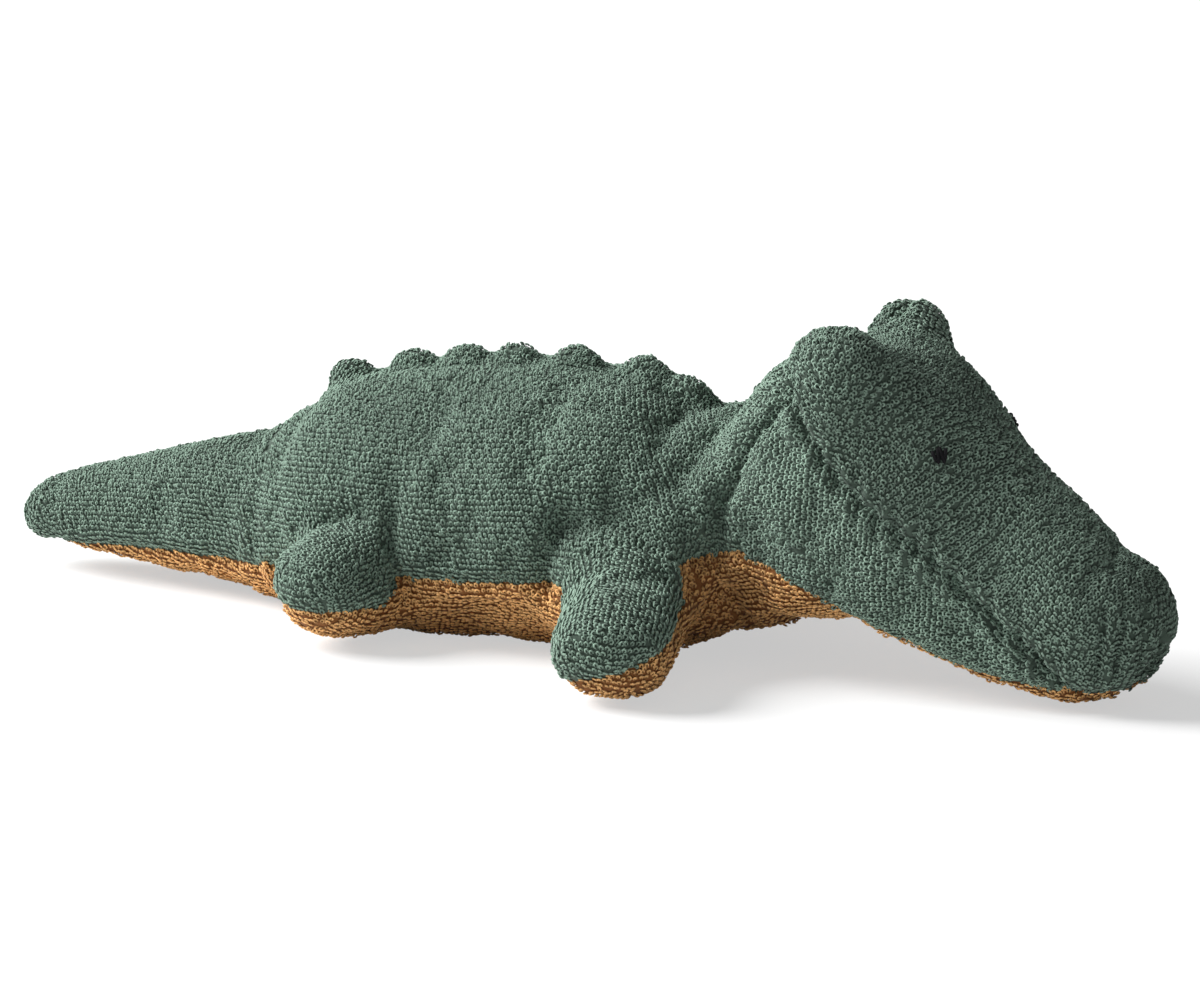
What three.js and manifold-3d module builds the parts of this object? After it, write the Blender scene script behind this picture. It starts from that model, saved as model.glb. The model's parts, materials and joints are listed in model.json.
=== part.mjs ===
import * as THREE from "three";
import { mergeVertices } from "three/addons/utils/BufferGeometryUtils.js";
import Module from "manifold-3d";

const wasm = await Module();
wasm.setup();

// A plush crocodile lying on its belly, in millimetres.
// X runs from the tail to the nose, Y to the animal's left and Z up.
// The origin is on the ground, under the middle of the belly.

// Cloth and clearances
const cloth = 2;
const seamGap = 0.3;
const fillGap = 0.3;
const jointGap = 0.4;
const restCut = 0.5;
const weld = 0.0005;
const cutReach = 400;

// Counts of rings and sides: the torso and the head, inside and outside, then what is round
const outerRings = 13;
const outerSides = 18;
const innerRings = 7;
const innerSides = 12;
const neckSides = 14;
const neckHollowSides = 20;
const tailSides = 14;
const legSides = 10;
const rootSides = 12;
const browSides = 12;
const spikeSides = 8;
const eyeSides = 10;

// Torso, from the tail crease to the neck crease
const torsoBack = -76;
const torsoLength = 140;
const torsoWidth = 84;
const torsoHeight = 69;
const torsoSeamHeight = 17;

// Spine ridge: padded scallops along the back
const spikeLength = 20;
const spikeThickness = 13;
const spikeHeight = 5;
const spikeSink = 5;

// Neck, a ball of stuffing that the head turns and nods on
const neckRadius = 27;
const neckHeight = 36;
const neckBand = 6.4;

// Head, from the neck crease to the nose
const headLength = 101;
const headWidth = 60;
const headHeight = 82;
const headTopSeamHeight = 59;
const headChinSeamHeight = 24;
const headTurn = THREE.MathUtils.degToRad(8);
const headRoll = THREE.MathUtils.degToRad(4);
const browLength = 30;
const browWidth = 25;
const browHeight = 28;
const browSpread = 35;
const browPlace = 16;
const browSink = 5;
const eyeWidth = 5;
const eyeLength = 5;
const eyeThickness = 1.6;
const eyeSpread = 27;
const eyePlace = 44;

// Tail, from its root ball to the tip
const tailLength = 92.5;
const tailWidth = 44;
const tailHeight = 44;
const tailBallRadius = 18;
const tailSink = 1.5;
const tailDrop = 5;
const tailSeamHeight = 12;

// Legs: each is a padded paddle on a root ball sunk in the torso's flank
const frontLeg = {
  name: "front",
  place: 122,
  height: 18,
  sink: 3,
  ballRadius: 11.5,
  length: 47,
  width: 31,
  thickness: 26,
  seamDrop: 3,
  forwardTurn: THREE.MathUtils.degToRad(10),
  droop: THREE.MathUtils.degToRad(9),
  roll: THREE.MathUtils.degToRad(14),
};
const hindLeg = {
  name: "hind",
  place: 40,
  height: 16.5,
  sink: 3,
  ballRadius: 11.5,
  length: 20,
  width: 29,
  thickness: 29,
  seamDrop: 3,
  forwardTurn: THREE.MathUtils.degToRad(-8),
  droop: THREE.MathUtils.degToRad(3),
  roll: THREE.MathUtils.degToRad(4),
};

// Section tables: the place along the form, the half width, the top, the widest
// height and the underside, each as a share of the form's own size
const torsoShares = [
  [0.0, 0.52, 0.7, 0.32, 0.03],
  [0.06, 0.72, 0.83, 0.35, 0.0],
  [0.14, 0.87, 0.93, 0.38, 0.0],
  [0.26, 0.95, 0.98, 0.4, 0.0],
  [0.42, 0.99, 1.0, 0.42, 0.0],
  [0.6, 1.0, 1.0, 0.43, 0.0],
  [0.74, 0.97, 0.98, 0.44, 0.01],
  [0.86, 0.89, 0.93, 0.47, 0.03],
  [0.94, 0.78, 0.91, 0.5, 0.08],
  [1.0, 0.7, 0.94, 0.53, 0.13],
];
const headShares = [
  [0.0, 0.97, 0.94, 0.48, 0.12],
  [0.12, 1.0, 0.99, 0.46, 0.14],
  [0.25, 1.0, 0.99, 0.43, 0.15],
  [0.36, 0.96, 0.91, 0.39, 0.12],
  [0.47, 0.86, 0.8, 0.34, 0.09],
  [0.6, 0.72, 0.69, 0.29, 0.055],
  [0.74, 0.61, 0.57, 0.25, 0.015],
  [0.87, 0.53, 0.48, 0.22, 0.01],
  [0.94, 0.44, 0.43, 0.22, 0.03],
  [0.98, 0.29, 0.37, 0.22, 0.08],
  [1.0, 0.13, 0.3, 0.22, 0.14],
];
const spikeShares = [0.12, 0.26, 0.37, 0.47, 0.6, 0.74, 0.85];
const torsoSeamShares = [
  [0.0, 0.8],
  [0.2, 0.95],
  [0.55, 1.1],
  [0.78, 1.15],
  [0.92, 1.6],
  [1.0, 1.8],
];
const headTopSeamShares = [
  [0.0, 1.08],
  [0.22, 0.86],
  [0.47, 0.52],
  [0.76, 0.22],
  [0.9, 0.19],
  [1.0, 0.19],
];
const headChinSeamShares = [
  [0.0, 1.0],
  [0.26, 0.74],
  [0.45, 0.52],
  [0.6, 0.38],
  [0.76, 0.24],
  [1.0, 0.22],
];
const tailShares = [
  [0.27, 0.9],
  [0.4, 0.86],
  [0.56, 0.73],
  [0.72, 0.62],
  [0.86, 0.52],
  [0.94, 0.42],
  [0.985, 0.27],
  [1.0, 0.1],
];
const legShares = [
  [0.36, 0.8, 0.94],
  [0.6, 0.99, 0.98],
  [0.8, 0.93, 0.87],
  [0.93, 0.66, 0.62],
  [1.0, 0.18, 0.18],
];

// Roundness of a section's top, sides and underside: 1 is an ellipse and less is squarer
const padRound = { top: 0.95, side: 0.85, under: 0.4 };
const limbRound = { top: 0.95, side: 0.9, under: 0.75 };
const ballRound = { top: 1, side: 1, under: 1 };

// Where the rings of a root ball lie, as shares of a half turn from its inner end
const ballTurnShares = [0.15, 0.35, 0.52, 0.65];

// How late along a form its inset draws the tip in
const tipPower = 3;

// Colours as photographed
const greenTerry = { color: 0x5b7563, roughness: 0.95, metalness: 0 };
const ochreTerry = { color: 0xa87743, roughness: 0.95, metalness: 0 };
const whiteFill = { color: 0xe9e6dd, roughness: 1, metalness: 0 };
const blackThread = { color: 0x17181a, roughness: 0.8, metalness: 0 };

// Closes any closed geometry into a solid, with its faces turned outwards
function solid(geometry) {
  const bare = new THREE.BufferGeometry();
  bare.setAttribute("position", geometry.getAttribute("position"));
  bare.setIndex(geometry.getIndex());
  const merged = mergeVertices(bare, weld);
  const vertProperties = merged.attributes.position.array;
  const triVerts = new Uint32Array(merged.index.array);
  const made = new wasm.Manifold(new wasm.Mesh({ numProp: 3, vertProperties, triVerts }));
  if (made.volume() > 0) return made;
  return new wasm.Manifold(
    new wasm.Mesh({ numProp: 3, vertProperties, triVerts: triVerts.reverse() }),
  );
}

// Skins a row of rings and closes each end with a fan round its middle
function loft(rings) {
  const sides = rings[0].length;
  const middles = [rings[0], rings.at(-1)].map((ring) =>
    ring.reduce((sum, point) => sum.add(point), new THREE.Vector3()).divideScalar(sides),
  );
  const points = [...rings.flat(), ...middles];
  const first = points.length - 2;
  const last = points.length - 1;
  const faces = [];
  for (let side = 0; side < sides; side++) {
    const next = (side + 1) % sides;
    for (let ring = 0; ring < rings.length - 1; ring++) {
      const a = ring * sides + side;
      const b = ring * sides + next;
      faces.push(a, b, b + sides, a, b + sides, a + sides);
    }
    const end = (rings.length - 1) * sides;
    faces.push(first, next, side, last, end + side, end + next);
  }
  const geometry = new THREE.BufferGeometry().setFromPoints(points);
  geometry.setIndex(faces);
  return solid(geometry);
}

// The values of a table at a place, on a smooth curve through its rows
function rowAt(table, place) {
  const lastSpan = table.length - 2;
  const found = table.findIndex((row) => row[0] > place) - 1;
  const span = THREE.MathUtils.clamp(found < 0 ? (place > 0.5 ? lastSpan : 0) : found, 0, lastSpan);
  const [from, to] = [table[span], table[span + 1]];
  const before = table[Math.max(span - 1, 0)];
  const after = table[Math.min(span + 2, table.length - 1)];
  const width = to[0] - from[0];
  const t = THREE.MathUtils.clamp((place - from[0]) / width, 0, 1);
  return from.map((value, column) => {
    const startSlope = ((to[column] - before[column]) / (to[0] - before[0])) * width;
    const endSlope = ((after[column] - value) / (after[0] - from[0])) * width;
    return (
      value * (1 + 2 * t) * (1 - t) ** 2 +
      startSlope * t * (1 - t) ** 2 +
      to[column] * t * t * (3 - 2 * t) -
      endSlope * t * t * (1 - t)
    );
  });
}

// One closed outline across a form, as round as it is told
function section({ x, half, top, wide, under }, round, sides) {
  return Array.from({ length: sides }, (_, index) => {
    const angle = (2 * Math.PI * index) / sides;
    const up = Math.cos(angle);
    const across = Math.sin(angle);
    const reach = up > 0 ? top - wide : wide - under;
    const curve = up > 0 ? round.top : round.under;
    return new THREE.Vector3(
      x,
      half * Math.sign(across) * Math.abs(across) ** round.side,
      wide + reach * Math.sign(up) * Math.abs(up) ** curve,
    );
  });
}

// A box, by its lowest and highest corners
function block(low, high) {
  const size = high.clone().sub(low);
  const geometry = new THREE.BoxGeometry(size.x, size.y, size.z);
  const middle = low.clone().add(high).divideScalar(2);
  return solid(geometry.translate(middle.x, middle.y, middle.z));
}

// Everything on one side of a flat cut across an axis
function halfSpace(axis, sign, offset) {
  const low = new THREE.Vector3(-cutReach, -cutReach, -cutReach);
  const high = new THREE.Vector3(cutReach, cutReach, cutReach);
  if (sign > 0) low[axis] = offset;
  else high[axis] = offset;
  return block(low, high);
}

// Everything under a seam line, given as points [x, z] from back to front
function underSeam(line, lift) {
  const outline = new THREE.Shape();
  outline.moveTo(-cutReach, -cutReach);
  outline.lineTo(-cutReach, line[0][1] + lift);
  line.forEach(([x, z]) => outline.lineTo(x, z + lift));
  outline.lineTo(cutReach, line.at(-1)[1] + lift);
  outline.lineTo(cutReach, -cutReach);
  outline.closePath();
  const geometry = new THREE.ExtrudeGeometry(outline, {
    depth: 2 * cutReach,
    bevelEnabled: false,
  });
  return solid(geometry.rotateX(Math.PI / 2).translate(0, cutReach, 0));
}

// A seam line in real sizes, from its table of shares
function seamLine(shares, back, length, height) {
  return shares.map(([place, level]) => [back + place * length, level * height]);
}

// An ellipsoid with its own count of sides
function ellipsoid(centre, reach, sides) {
  const geometry = new THREE.SphereGeometry(1, sides, Math.ceil(sides / 2));
  geometry.rotateX(Math.PI / 2).scale(reach.x, reach.y, reach.z);
  return solid(geometry.translate(centre.x, centre.y, centre.z));
}

// A hollow for a ball: its flat faces stay outside the ball by the joint's gap
function socket(centre, radius, sides) {
  const reach = (radius + jointGap) / Math.cos(Math.PI / sides) ** 2;
  return ellipsoid(centre, new THREE.Vector3(reach, reach, reach), sides);
}

// The ground under a part that lies on it, as seen from a group's own frame
function groundUnder(group) {
  group.updateMatrixWorld();
  const geometry = new THREE.BoxGeometry(2 * cutReach, 2 * cutReach, cutReach);
  geometry.translate(0, 0, -cutReach / 2).applyMatrix4(group.matrixWorld.clone().invert());
  const { x, y, z } = group.position;
  return solid(geometry.translate(x, y, z));
}

// Pivots
const neckPivot = new THREE.Vector3(torsoBack + torsoLength + neckBand, 0, neckHeight);
const tailPivot = new THREE.Vector3(torsoBack + tailSink, 0, tailHeight / 2);

// The torso's outline at a place, as real sizes
function torsoRow(place) {
  const [, half, top, wide, under] = rowAt(torsoShares, place);
  return {
    x: torsoBack + place * torsoLength,
    half: (half * torsoWidth) / 2,
    top: top * torsoHeight,
    wide: wide * torsoHeight,
    under: under * torsoHeight - restCut,
  };
}

// The torso's form, drawn in by an inset and let run past its ends
function torsoForm(inset, overrun, stations, sides) {
  const rings = Array.from({ length: stations }, (_, index) => {
    const row = torsoRow(index / (stations - 1));
    const end = index === 0 ? -overrun : index === stations - 1 ? overrun : 0;
    const drawn = {
      x: row.x + end,
      half: row.half - inset,
      top: row.top - inset,
      wide: row.wide,
      under: row.under + inset,
    };
    return section(drawn, padRound, sides);
  });
  return loft(rings);
}

// The padded scallops of the ridge, along the spine
function ridge() {
  return spikeShares.map((place) => {
    const row = torsoRow(place);
    return ellipsoid(
      new THREE.Vector3(row.x, 0, row.top - spikeSink),
      new THREE.Vector3(spikeLength / 2, spikeThickness / 2, spikeHeight + spikeSink),
      spikeSides,
    );
  });
}

// A leg's pivot, sunk in the torso's flank
function legPivot(leg, side) {
  const row = torsoRow(leg.place / torsoLength);
  return new THREE.Vector3(row.x, side * (row.half - leg.sink), leg.height);
}

// The turn from a leg's own frame, with its length along X, to the torso's
function legTurn(leg, side) {
  const turned = new THREE.Matrix4().makeScale(1, side, 1);
  turned.multiply(new THREE.Matrix4().makeRotationZ(Math.PI / 2 - leg.forwardTurn));
  turned.multiply(new THREE.Matrix4().makeRotationY(leg.droop));
  turned.multiply(new THREE.Matrix4().makeRotationX(leg.roll));
  return turned.setPosition(legPivot(leg, side));
}

// A round root that grows into a limb: the ball's rings, then the limb's rows
function limbRings(ballRadius, rows, sides) {
  const ball = ballTurnShares.map((share) => {
    const half = ballRadius * Math.sin(share * Math.PI);
    const x = -ballRadius * Math.cos(share * Math.PI);
    return section({ x, half, top: half, wide: 0, under: -half }, ballRound, sides);
  });
  return [...ball, ...rows.map((row) => section(row, limbRound, sides))];
}

// A leg's form in its own frame, drawn in by an inset
function legForm(leg, side, inset, sides) {
  const rows = legShares.map(([place, wideShare, thickShare]) => {
    const thick = thickShare * (leg.thickness / 2 - inset);
    return {
      x: place * leg.length - inset * place ** tipPower,
      half: wideShare * (leg.width / 2 - inset),
      top: thick,
      wide: 0,
      under: -thick,
    };
  });
  const turn = legTurn(leg, side);
  const rings = limbRings(leg.ballRadius - inset, rows, sides);
  return loft(rings.map((ring) => ring.map((point) => point.applyMatrix4(turn))));
}

// Everything under a leg's seam, which follows the leg's own tilt
function underLegSeam(leg, side, lift) {
  const geometry = new THREE.BoxGeometry(2 * cutReach, 2 * cutReach, cutReach);
  geometry.translate(0, 0, -cutReach / 2 - leg.seamDrop + lift);
  return solid(geometry.applyMatrix4(legTurn(leg, side)));
}

// The tail's form, drawn in by an inset: a round root ball and a taper down to its tip
function tailForm(inset, sides) {
  const rows = tailShares.map(([place, size]) => {
    const tall = size * (tailHeight / 2 - inset);
    const sink = -tailDrop * place;
    return {
      x: place * tailLength - inset * place ** tipPower,
      half: size * (tailWidth / 2 - inset),
      top: sink + tall,
      wide: sink,
      under: sink - tall,
    };
  });
  const turn = new THREE.Matrix4().makeScale(-1, 1, 1).setPosition(tailPivot);
  const rings = limbRings(tailBallRadius - inset, rows, sides);
  return loft(rings.map((ring) => ring.map((point) => point.applyMatrix4(turn))));
}

// The head's outline at a place, as real sizes
const headBack = neckPivot.x + neckBand;
function headRow(place) {
  const [, half, top, wide, under] = rowAt(headShares, place);
  return {
    x: headBack + place * headLength,
    half: (half * headWidth) / 2,
    top: top * headHeight,
    wide: wide * headHeight,
    under: under * headHeight,
  };
}

// The head's form, drawn in by an inset
function headForm(inset, overrun, stations, sides) {
  const rings = Array.from({ length: stations }, (_, index) => {
    const share = index / (stations - 1);
    const row = headRow(Math.sin((share * Math.PI) / 2));
    const end = index === 0 ? -overrun : -inset * share ** tipPower;
    const half = Math.max(row.half - inset, inset);
    const top = Math.max(row.top - inset, row.wide + inset);
    const under = Math.min(row.under + inset, row.wide - inset);
    return section({ x: row.x + end, half, top, wide: row.wide, under }, padRound, sides);
  });
  return loft(rings);
}

// The padded brows that stand up at the back corners of the head
function brows(inset) {
  return [-1, 1].map((side) => {
    const row = headRow(browPlace / headLength);
    const centre = new THREE.Vector3(row.x, (side * browSpread) / 2, row.top - browSink);
    const reach = new THREE.Vector3(browLength, browWidth, browHeight).divideScalar(2);
    return ellipsoid(centre, reach.subScalar(inset), browSides);
  });
}

// An embroidered eye, a thin pad of thread on the head's top
function eye(side) {
  const row = headRow(eyePlace / headLength);
  const across = eyeSpread / 2;
  const lean = Math.asin(across / row.half);
  const rise = (row.top - row.wide) * Math.cos(lean) ** padRound.top;
  const centre = new THREE.Vector3(row.x, side * across, row.wide + rise);
  const reach = new THREE.Vector3(eyeLength / 2, eyeWidth / 2, eyeThickness + cloth);
  return ellipsoid(centre, reach, eyeSides).subtract(
    headForm(-seamGap, 0, outerRings, outerSides),
  );
}

// A named mesh from a solid, set in its group's own frame
function add(group, name, made, finish) {
  const { vertProperties, triVerts } = made.getMesh();
  const geometry = new THREE.BufferGeometry();
  geometry.setAttribute("position", new THREE.BufferAttribute(vertProperties, 3));
  geometry.setIndex(new THREE.BufferAttribute(triVerts, 1));
  geometry.translate(-group.position.x, -group.position.y, -group.position.z);
  const faceted = geometry.toNonIndexed();
  faceted.computeVertexNormals();
  const mesh = new THREE.Mesh(faceted, new THREE.MeshStandardMaterial(finish));
  mesh.name = name;
  group.add(mesh);
}

// A group that turns about a pivot
function groupAt(pivot) {
  const group = new THREE.Group();
  group.position.copy(pivot);
  return group;
}

const crocodile = new THREE.Group();
const halfGap = seamGap / 2;

function buildTorso() {
  const group = groupAt(new THREE.Vector3());
  const sockets = [
    socket(neckPivot, neckRadius, neckHollowSides),
    socket(tailPivot, tailBallRadius, tailSides),
    ...[frontLeg, hindLeg].flatMap((leg) =>
      [-1, 1].map((side) => socket(legPivot(leg, side), leg.ballRadius, rootSides)),
    ),
  ];
  const hollows = wasm.Manifold.union([...sockets, groundUnder(group)]);
  const outer = wasm.Manifold.union([torsoForm(0, 0, outerRings, outerSides), ...ridge()]);
  const inner = torsoForm(cloth, cloth, innerRings, innerSides);
  const shell = outer.subtract(inner).subtract(hollows);
  const line = seamLine(torsoSeamShares, torsoBack, torsoLength, torsoSeamHeight);
  const back = shell.subtract(underSeam(line, halfGap));
  add(group, "belly_panel", shell.intersect(underSeam(line, -halfGap)), ochreTerry);
  add(group, "back_panel_right", back.intersect(halfSpace("y", -1, -halfGap)), greenTerry);
  add(group, "back_panel_left", back.intersect(halfSpace("y", 1, halfGap)), greenTerry);
  const fill = torsoForm(cloth + fillGap, 0, innerRings, innerSides).subtract(hollows);
  add(group, "body_stuffing", fill, whiteFill);
  crocodile.add(group);
}

function buildNeck() {
  const group = groupAt(neckPivot);
  const ball = (inset, sides) => {
    const reach = neckRadius - inset;
    return ellipsoid(neckPivot, new THREE.Vector3(reach, reach, reach), sides);
  };
  const shell = ball(0, neckSides).subtract(ball(cloth, innerSides));
  const level = neckPivot.z;
  const upper = shell.intersect(halfSpace("z", 1, level + halfGap));
  const throat = shell.intersect(halfSpace("z", -1, level - halfGap));
  add(group, "neck_upper_panel", upper, greenTerry);
  add(group, "throat_panel", throat, ochreTerry);
  add(group, "neck_stuffing", ball(cloth + fillGap, innerSides), whiteFill);
  crocodile.add(group);
}

function buildHead() {
  const group = groupAt(neckPivot);
  group.rotation.set(headRoll, 0, -headTurn);
  const hollows = socket(neckPivot, neckRadius, neckHollowSides).add(groundUnder(group));
  const behind = halfSpace("x", -1, headBack);
  const padded = headForm(0, 0, outerRings, outerSides);
  const outer = wasm.Manifold.union([padded, ...brows(0)]).subtract(behind);
  const lining = headForm(cloth, cloth, innerRings, innerSides);
  const inner = wasm.Manifold.union([lining, ...brows(cloth)]);
  const shell = outer.subtract(inner).subtract(hollows);
  const topLine = seamLine(headTopSeamShares, headBack, headLength, headTopSeamHeight);
  const chinLine = seamLine(headChinSeamShares, headBack, headLength, headChinSeamHeight);
  const sides = shell
    .intersect(underSeam(topLine, -halfGap))
    .subtract(underSeam(chinLine, halfGap));
  add(group, "head_top_panel", shell.subtract(underSeam(topLine, halfGap)), greenTerry);
  add(group, "head_side_panel_right", sides.intersect(halfSpace("y", -1, -halfGap)), greenTerry);
  add(group, "head_side_panel_left", sides.intersect(halfSpace("y", 1, halfGap)), greenTerry);
  add(group, "chin_panel", shell.intersect(underSeam(chinLine, -halfGap)), ochreTerry);
  const fillInset = cloth + fillGap;
  const core = headForm(fillInset, 0, innerRings, innerSides);
  const fill = wasm.Manifold.union([core, ...brows(fillInset)]);
  add(group, "head_stuffing", fill.subtract(behind).subtract(hollows), whiteFill);
  add(group, "eye_right", eye(-1), blackThread);
  add(group, "eye_left", eye(1), blackThread);
  crocodile.add(group);
}

function buildTail() {
  const group = groupAt(tailPivot);
  const outer = tailForm(0, tailSides);
  const shell = outer.subtract(tailForm(cloth, legSides)).subtract(groundUnder(group));
  const line = [
    [tailPivot.x - tailLength, tailSeamHeight / 2],
    [tailPivot.x, tailSeamHeight],
  ];
  const top = shell.subtract(underSeam(line, halfGap));
  add(group, "tail_panel_right", top.intersect(halfSpace("y", -1, -halfGap)), greenTerry);
  add(group, "tail_panel_left", top.intersect(halfSpace("y", 1, halfGap)), greenTerry);
  add(group, "tail_under_panel", shell.intersect(underSeam(line, -halfGap)), ochreTerry);
  add(group, "tail_stuffing", tailForm(cloth + fillGap, legSides), whiteFill);
  crocodile.add(group);
}

function buildLeg(leg, side) {
  const name = `${leg.name}_leg_${side < 0 ? "right" : "left"}`;
  const group = groupAt(legPivot(leg, side));
  const ground = groundUnder(group);
  const outer = legForm(leg, side, 0, legSides);
  const shell = outer.subtract(legForm(leg, side, cloth, legSides)).subtract(ground);
  const upper = shell.subtract(underLegSeam(leg, side, halfGap));
  const sole = shell.intersect(underLegSeam(leg, side, -halfGap));
  const fill = legForm(leg, side, cloth + fillGap, legSides).subtract(ground);
  add(group, `${name}_upper_panel`, upper, greenTerry);
  add(group, `${name}_sole_panel`, sole, ochreTerry);
  add(group, `${name}_stuffing`, fill, whiteFill);
  crocodile.add(group);
}

buildTorso();
buildNeck();
buildHead();
buildTail();
[frontLeg, hindLeg].forEach((leg) => [-1, 1].forEach((side) => buildLeg(leg, side)));

export default crocodile;
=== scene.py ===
"""A plush crocodile of looped terry cloth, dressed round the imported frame.

The skin is one padded surface, grown from the forms of the torso, tail, head and legs, creased and
gathered along its seams, and then parted into its sewn panels. Every panel carries its terry loops
as real geometry. Lengths are in millimetres until a mesh is made; the camera's and the floor's are
in metres.

The tables of shares hold, for each place along a form, its half width, top, widest height and
underside, or the height of a seam, all as shares of the form's length, width and height.
"""

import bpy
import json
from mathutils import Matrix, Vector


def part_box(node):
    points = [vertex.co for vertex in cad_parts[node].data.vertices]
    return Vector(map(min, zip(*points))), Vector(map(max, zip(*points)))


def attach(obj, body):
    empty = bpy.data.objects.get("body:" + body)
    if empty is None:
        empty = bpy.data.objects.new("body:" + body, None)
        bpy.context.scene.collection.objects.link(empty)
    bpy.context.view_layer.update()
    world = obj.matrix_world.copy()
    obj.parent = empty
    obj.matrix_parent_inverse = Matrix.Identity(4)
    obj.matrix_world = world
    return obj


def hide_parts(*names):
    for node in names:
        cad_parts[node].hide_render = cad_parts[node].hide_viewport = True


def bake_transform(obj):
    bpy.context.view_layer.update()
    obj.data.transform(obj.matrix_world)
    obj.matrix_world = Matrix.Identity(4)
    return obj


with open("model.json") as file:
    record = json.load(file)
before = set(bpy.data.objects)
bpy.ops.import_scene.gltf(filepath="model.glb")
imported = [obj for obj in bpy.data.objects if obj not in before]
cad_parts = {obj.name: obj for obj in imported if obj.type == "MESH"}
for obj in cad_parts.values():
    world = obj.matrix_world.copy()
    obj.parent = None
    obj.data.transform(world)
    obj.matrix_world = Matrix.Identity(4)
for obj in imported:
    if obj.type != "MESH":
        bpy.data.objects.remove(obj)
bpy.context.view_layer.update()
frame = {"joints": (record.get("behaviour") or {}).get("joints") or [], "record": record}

import json
import math

import bpy
import numpy as np
import openvdb
from mathutils import Matrix, Vector
from mathutils.kdtree import KDTree

MM = 1000.0

# Places that the frame gives
pivots = {joint["name"]: np.array(joint["pos_m"]) * MM for joint in frame["joints"]}
neck_pivot = pivots["neck_turn"]
tail_pivot = pivots["tail_swing"]
body_of_node = {
    node: body for body, nodes in frame["record"]["behaviour"]["bodies"].items() for node in nodes
}
torso_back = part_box("belly_panel")[0].x * MM
tail_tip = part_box("tail_panel_right")[0].x * MM

# The torso, from the tail crease to the neck seam
torso_length = 150.0
torso_width = 84.0
torso_height = 69.0
torso_shares = [
    [0.0, 0.53, 0.69, 0.32, 0.05],
    [0.06, 0.7, 0.79, 0.35, 0.0],
    [0.13, 0.85, 0.895, 0.38, -0.03],
    [0.24, 0.95, 0.94, 0.4, -0.045],
    [0.4, 0.99, 0.975, 0.42, -0.045],
    [0.56, 1.0, 1.0, 0.43, -0.02],
    [0.69, 0.96, 0.98, 0.44, 0.0],
    [0.8, 0.88, 0.89, 0.46, 0.05],
    [0.88, 0.79, 0.905, 0.49, 0.1],
    [0.94, 0.72, 0.93, 0.51, 0.1],
    [1.0, 0.67, 0.96, 0.53, 0.13],
]
belly_seam_shares = [
    [0.0, 0.19], [0.19, 0.24], [0.45, 0.27], [0.6, 0.295], [0.75, 0.32], [0.87, 0.41], [1.0, 0.49],
]
body_round = {"top": 0.95, "side": 0.85, "under": 0.72}
neck_back = 52.0
neck_front = 76.0

# The head, from under the neck's cloth to the nose, in its own straight frame
head_back = neck_pivot[0] - 10.0
head_length = 117.0
head_width = 60.0
head_height = 82.0
head_turn = math.radians(-8)
head_roll = math.radians(4)
head_shares = [
    [0.0, 0.9, 0.77, 0.48, 0.18],
    [0.035, 0.92, 0.84, 0.48, 0.18],
    [0.07, 0.94, 0.9, 0.48, 0.18],
    [0.12, 0.97, 0.97, 0.47, 0.18],
    [0.18, 0.99, 0.99, 0.46, 0.18],
    [0.27, 1.0, 1.02, 0.45, 0.2],
    [0.35, 1.0, 1.045, 0.43, 0.21],
    [0.435, 0.98, 1.01, 0.4, 0.17],
    [0.53, 0.9, 0.895, 0.35, 0.115],
    [0.645, 0.77, 0.72, 0.29, 0.065],
    [0.77, 0.65, 0.6, 0.26, 0.03],
    [0.875, 0.55, 0.5, 0.24, 0.04],
    [0.94, 0.45, 0.435, 0.25, 0.105],
    [0.975, 0.33, 0.38, 0.26, 0.18],
    [1.0, 0.12, 0.31, 0.27, 0.23],
]
top_seam_shares = [
    [0.0, 1.02], [0.12, 0.97], [0.212, 0.877], [0.325, 0.71], [0.439, 0.59], [0.553, 0.48],
    [0.651, 0.35], [0.73, 0.25], [0.793, 0.16], [0.84, 0.08], [0.9, 0.0], [1.0, -0.05],
]
chin_seam_shares = [
    [0.0, 0.365], [0.08, 0.4], [0.16, 0.385], [0.365, 0.26], [0.52, 0.18], [0.63, 0.13],
    [0.81, 0.09], [1.0, 0.09],
]
# How far in front of the head's back the neck seam lies, at each share of the height
climb_shares = [
    [0.0, 9.0], [0.66, 9.5], [0.76, 13.0], [0.86, 20.0], [0.93, 23.0], [1.1, 25.0],
]
head_round = {"top": 0.8, "side": 0.8, "under": 0.5}
brow = {"place": 35.0, "spread": 17.0, "top": 92.5}
brow_reach = {-1: np.array([15.5, 11.5, 16.0]), 1: np.array([12.0, 11.5, 16.0])}

# The tail, from its root to the tip
tail_length = tail_pivot[0] - tail_tip
tail_width = 46.0
tail_height = 46.0
tail_drop = 6.0
tail_lift = 1.3
tail_shares = [
    [-0.1, 0.93], [0.05, 1.0], [0.2, 0.91], [0.4, 0.78], [0.56, 0.665], [0.72, 0.555],
    [0.86, 0.445], [0.94, 0.34], [0.985, 0.18], [1.0, 0.06],
]
tail_seam_shares = [[0.0, 0.27], [0.5, 0.23], [1.0, 0.14]]
tail_round = {"top": 0.95, "side": 0.9, "under": 0.75}

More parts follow.
